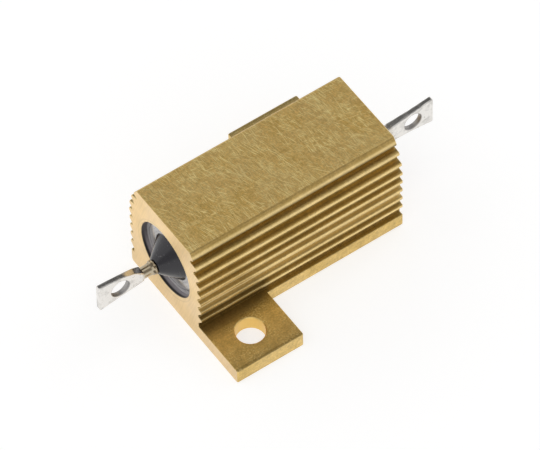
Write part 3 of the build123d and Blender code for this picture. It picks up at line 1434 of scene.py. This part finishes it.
@dataclass
class Terminal:
    """A tinned wire, pressed flat towards the tip and pierced. Millimetres, outwards from the middle."""

    node: str
    turned: bool = False
    inner_end: float = 10.15
    shank: tuple[Station, ...] = (
        Station(10.2, 1.2, 1.2),
        Station(14.6, 1.2, 1.2),
        Station(14.74, 1.2, 1.2),
        Station(14.8, 1.4, 1.4),
        Station(14.86, 1.68, 1.68),
        Station(14.98, 1.8, 1.8),
        Station(15.1, 1.64, 1.64),
        Station(15.22, 1.76, 1.76),
        Station(15.36, 1.56, 1.56),
        Station(15.5, 1.4, 1.4),
        Station(16.0, 1.36, 1.36),
        Station(16.45, 1.36, 1.36),
        Station(16.75, 1.28, 1.32),
        Station(17.1, 1.04, 1.2),
        Station(17.5, 0.6, 1.0),
    )
    shank_points: int = 40
    collar: Range = (14.84, 15.4)
    collar_roughness: float = 0.07
    collar_evenness: float = 0.3
    collar_seed: int = 7
    blade: tuple[Station, ...] = (
        Station(16.5, 1.06, 1.5),
        Station(17.6, 0.86, 2.42, 0.11),
        Station(19.3, 0.68, 3.17, 0.1),
        Station(22.25, 0.62, 3.94),
    )
    root_corner: float = 0.2
    tip_corner: float = 0.2
    eye_points: int = 64
    eye_depth: float = 2.0
    eye_dish: float = 0.14
    eye_margin: float = 0.01
    edge_radius: float = 0.07
    edge_angle: float = 50.0

    def build(self) -> bpy.types.Object:
        """Models the terminal at its end of the resistor.

        Returns:
            The finished piece.
        """
        piece = self._press_blade()
        shank = self._turn_shank()
        Bench.modify(piece, "BOOLEAN", object=shank, operation="UNION", solver="EXACT")
        bpy.data.objects.remove(shank)
        if self.turned:
            piece.rotation_euler = (0.0, 0.0, math.pi)
        Bench.settle(piece)
        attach(piece, ROOT)
        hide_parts(self.node)
        return piece

    @staticmethod
    def dress(piece: bpy.types.Object, material: bpy.types.Material) -> None:
        """Puts the finish on the terminal.

        Args:
            piece: the built terminal.
            material: the finish's material.
        """
        piece.data.materials.clear()
        piece.data.materials.append(material)
        LOG.info("%s: %s", piece.name, material.name)

    def _press_blade(self) -> bpy.types.Object:
        """Presses the blade flat, pierces it and rounds its edges.

        Returns:
            The blade, pointing left.
        """
        root, second = self.blade[:2]
        tip = self.blade[-1].along
        middle = -(root.along + second.along) / 2
        Bench.clear()
        bpy.ops.mesh.primitive_cube_add(size=1.0, location=(middle, 0.0, AXIS_HEIGHT))
        bpy.context.active_object.scale = (second.along - root.along, root.thick, root.tall)
        piece = Bench.take(self.node + "_pressed")
        bpy.ops.object.mode_set(mode="EDIT")
        Bench.pick(piece, lambda place: place.x < middle)
        self._flatten(root, second)
        self._draw_out(piece, self.blade[1:])
        for side in (-1, 1):
            Bench.pick(piece, lambda place: place.x > middle and side * (place.z - AXIS_HEIGHT) > 0)
            bpy.ops.mesh.bevel(offset=self.root_corner, segments=4, affect="EDGES")
            Bench.pick(piece, lambda place: place.x < NEARNESS - tip and side * (place.z - AXIS_HEIGHT) > 0)
            bpy.ops.mesh.bevel(offset=self.tip_corner, segments=3, affect="EDGES")
        bpy.ops.object.mode_set(mode="OBJECT")
        self._pierce(piece)
        sharp = math.radians(self.edge_angle)
        Bench.modify(
            piece, "BEVEL", width=self.edge_radius, segments=3, limit_method="ANGLE", angle_limit=sharp
        )
        return piece

    def _draw_out(self, piece: bpy.types.Object, stations: Sequence[Station]) -> None:
        """Draws a piece's outer end out from station to station.

        Args:
            piece: the piece, in edit mode, whose end stands at the first station.
            stations: the sections to pass through.
        """
        for last, following in zip(stations, stations[1:]):
            Bench.pick(piece, lambda place: place.x < NEARNESS - last.along)
            step = (last.along - following.along, 0.0, 0.0)
            bpy.ops.mesh.extrude_region_move(TRANSFORM_OT_translate={"value": step})
            self._flatten(last, following)

    @staticmethod
    def _flatten(last: Station, following: Station) -> None:
        """Brings the picked end from one station's section to the next one's."""
        bpy.ops.transform.resize(
            value=(1.0, following.thick / last.thick, following.tall / last.tall),
            center_override=(-following.along, 0.0, AXIS_HEIGHT + last.lift),
        )
        bpy.ops.transform.translate(value=(0.0, 0.0, following.lift - last.lift))

    def _pierce(self, piece: bpy.types.Object) -> None:
        """Cuts the eye, and dishes it where the punch went in and came out.

        Args:
            piece: the blade.
        """
        Bench.clear()
        bpy.ops.mesh.primitive_cylinder_add(
            vertices=self.eye_points,
            radius=EYE_RADIUS,
            depth=self.eye_depth,
            location=(-EYE_CENTRE, 0.0, AXIS_HEIGHT),
            rotation=(math.pi / 2, 0.0, 0.0),
        )
        punch = Bench.take("punch")
        Bench.modify(piece, "BOOLEAN", object=punch, operation="DIFFERENCE", solver="EXACT")
        bpy.data.objects.remove(punch)
        rim = EYE_RADIUS + self.eye_margin
        bpy.ops.object.mode_set(mode="EDIT")
        for side in (-1, 1):
            Bench.pick(piece, lambda place: side * place.y > 0 and self._from_eye(place) < rim)
            bpy.ops.mesh.bevel(offset=self.eye_dish, segments=3, affect="EDGES")
        bpy.ops.object.mode_set(mode="OBJECT")

    @staticmethod
    def _from_eye(place: Vector) -> float:
        """The distance of a place from the eye's axis."""
        return math.hypot(place.x + EYE_CENTRE, place.z - AXIS_HEIGHT)

    def _turn_shank(self) -> bpy.types.Object:
        """Draws out the round shank, with the rough collar of tin where it leaves the moulding.

        Returns:
            The shank, pointing left.
        """
        first = self.shank[0]
        Bench.clear()
        bpy.ops.mesh.primitive_cylinder_add(
            vertices=self.shank_points,
            radius=first.thick / 2,
            depth=first.along - self.inner_end,
            location=(-(first.along + self.inner_end) / 2, 0.0, AXIS_HEIGHT),
            rotation=(0.0, math.pi / 2, 0.0),
        )
        shank = Bench.take("shank")
        bpy.ops.object.mode_set(mode="EDIT")
        self._draw_out(shank, self.shank)
        Bench.pick(shank, lambda place: self.collar[0] < -place.x < self.collar[1])
        bpy.ops.transform.vertex_random(
            offset=self.collar_roughness, uniform=self.collar_evenness, seed=self.collar_seed
        )
        bpy.ops.object.mode_set(mode="OBJECT")
        Bench.modify(shank, "SUBSURF", levels=1, render_levels=1)
        return shank


@dataclass
class EvenTerminal(Terminal):
    """A terminal whose blade widens evenly from nearer the moulding."""

    blade: tuple[Station, ...] = (
        Station(15.8, 1.1, 1.8),
        Station(16.5, 0.98, 2.34),
        Station(19.3, 0.68, 3.12),
        Station(22.25, 0.62, 3.94),
    )


@dataclass
class PhotoCamera:
    """The camera, where the photograph was taken from. Lengths in millimetres, angles in degrees."""

    azimuth: float = -33.592
    elevation: float = 53.650
    roll: float = -1.629
    distance: float = 631.7
    right_offset: float = -0.257
    up_offset: float = -1.882
    focal_pixels: float = 5720.3
    image_width: int = 540
    sensor_width: float = 36.0

    def build(self) -> bpy.types.Object:
        """Places the camera and makes it the scene's own.

        Returns:
            The camera object.
        """
        azimuth, elevation, roll = (math.radians(a) for a in (self.azimuth, self.elevation, self.roll))
        back = Vector((
            math.sin(azimuth) * math.cos(elevation),
            -math.cos(azimuth) * math.cos(elevation),
            math.sin(elevation),
        ))
        level = Vector((math.cos(azimuth), math.sin(azimuth), 0.0))
        upright = back.cross(level)
        right = math.cos(roll) * level + math.sin(roll) * upright
        up = math.cos(roll) * upright - math.sin(roll) * level
        place = back * self.distance - right * self.right_offset - up * self.up_offset

        data = bpy.data.cameras.new("photo_camera")
        data.sensor_width = self.sensor_width
        data.lens = self.focal_pixels / self.image_width * self.sensor_width
        camera = bpy.data.objects.new("photo_camera", data)
        bpy.context.scene.collection.objects.link(camera)
        turn = Matrix((right, up, back)).transposed().to_4x4()
        camera.matrix_world = Matrix.Translation(place * MM) @ turn
        bpy.context.scene.camera = camera
        return camera


@dataclass(frozen=True)
class DarkPatch:
    """A soft dark opening in the light tent: where it lies, its reach in degrees and how dark it is."""

    direction: Triple
    inner: float
    outer: float
    level: float


@dataclass
class Studio:
    """A white floor in a white light tent with soft dark openings."""

    floor_size: float = 4.0
    floor_drop: float = 0.02 * MM
    floor_glow: float = 0.67
    floor_albedo: float = 0.45
    openings: tuple[DarkPatch, ...] = (
        DarkPatch((0.52, 0.5, 0.69), 10.0, 22.0, 0.1),
        DarkPatch((0.13, 0.5, 0.86), 10.0, 22.0, 0.1),
        DarkPatch((0.33, -0.62, 0.71), 14.0, 34.0, 0.3),
        DarkPatch((-0.15, 0.5, 0.85), 6.0, 16.0, 0.15),
        DarkPatch((-0.9, -0.17, 0.4), 8.0, 24.0, 0.55),
    )

    def build(self) -> None:
        """Makes the floor and the tent."""
        self._lay_floor()
        self._hang_tent()
        bpy.context.scene.view_settings.view_transform = "Standard"

    def _lay_floor(self) -> None:
        """Lays the floor just under the mounting face."""
        Bench.clear()
        bpy.ops.mesh.primitive_plane_add(size=self.floor_size, location=(0.0, 0.0, -self.floor_drop))
        floor = Bench.take("floor")
        material = bpy.data.materials.new("white_floor")
        material.use_nodes = True
        graph = Graph(material.node_tree)
        paper = graph.add("ShaderNodeBsdfDiffuse")
        paper.inputs["Color"].default_value = (self.floor_albedo,) * 3 + (1.0,)
        glow = graph.add("ShaderNodeEmission")
        rays = graph.add("ShaderNodeLightPath").outputs
        seen = graph.maths("MAXIMUM", rays["Is Camera Ray"], rays["Is Glossy Ray"])
        seen = graph.maths("MAXIMUM", seen, rays["Is Transmission Ray"])
        graph.feed(glow.inputs["Strength"], graph.times(seen, self.floor_glow))
        both = graph.add("ShaderNodeAddShader")
        graph.feed(both.inputs[0], paper.outputs[0])
        graph.feed(both.inputs[1], glow.outputs[0])
        output = graph.add("ShaderNodeOutputMaterial")
        graph.feed(output.inputs["Surface"], both.outputs[0])
        floor.data.materials.append(material)

    def _hang_tent(self) -> None:
        """Makes the world white with its dark openings."""
        world = bpy.data.worlds.new("light_tent")
        world.use_nodes = True
        graph = Graph(world.node_tree)
        direction = graph.add("ShaderNodeTexCoord").outputs["Generated"]
        level: Input = (1.0, 1.0, 1.0, 1.0)
        for opening in self.openings:
            towards = Vector(opening.direction).normalized()
            nearness = graph.vector("DOT_PRODUCT", direction, tuple(towards)).outputs["Value"]
            inner, outer = (math.cos(math.radians(a)) for a in (opening.inner, opening.outer))
            level = graph.mix(graph.span(nearness, outer, inner), level, (opening.level,) * 3 + (1.0,))
        background = graph.add("ShaderNodeBackground")
        graph.feed(background.inputs["Color"], level)
        output = graph.add("ShaderNodeOutputWorld")
        graph.feed(output.inputs["Surface"], background.outputs[0])
        bpy.context.scene.world = world


def main() -> None:
    """Dresses the part, lights it and sets the camera."""
    logging.basicConfig(level=logging.INFO, format="%(name)s %(message)s")
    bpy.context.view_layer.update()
    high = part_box("housing")[1] / MM
    gold = GoldAnodised(HousingSize(half_length=high.x, lug_reach=high.y, top=high.z))
    black = BlackMoulding(rim=high.x - RIM_RECESS)
    tin = Tinned("bright_tin", Colour(234, 231, 226), Colour(204, 201, 196), roughness=0.16)
    steel = BrightMetal("pressed_steel", Colour(190, 190, 192), Colour(165, 165, 168), roughness=0.3)
    wire = BrightMetal("drawn_wire", Colour(176, 168, 156), Colour(150, 140, 126), roughness=0.32)
    for piece in (
        Dressed(("housing",), gold),
        Dressed(("moulded_body",), black),
        Dressed(("ceramic_core",), FiredCeramic()),
        Dressed(("resistance_winding",), wire),
        Dressed(("left_end_cap", "right_end_cap"), steel),
    ):
        piece.dress()
    tinning = tin.make()
    for terminal in (Terminal("left_terminal"), EvenTerminal("right_terminal", turned=True)):
        terminal.dress(terminal.build(), tinning)
    Studio().build()
    PhotoCamera().build()


if __name__ == "__main__":
    main()
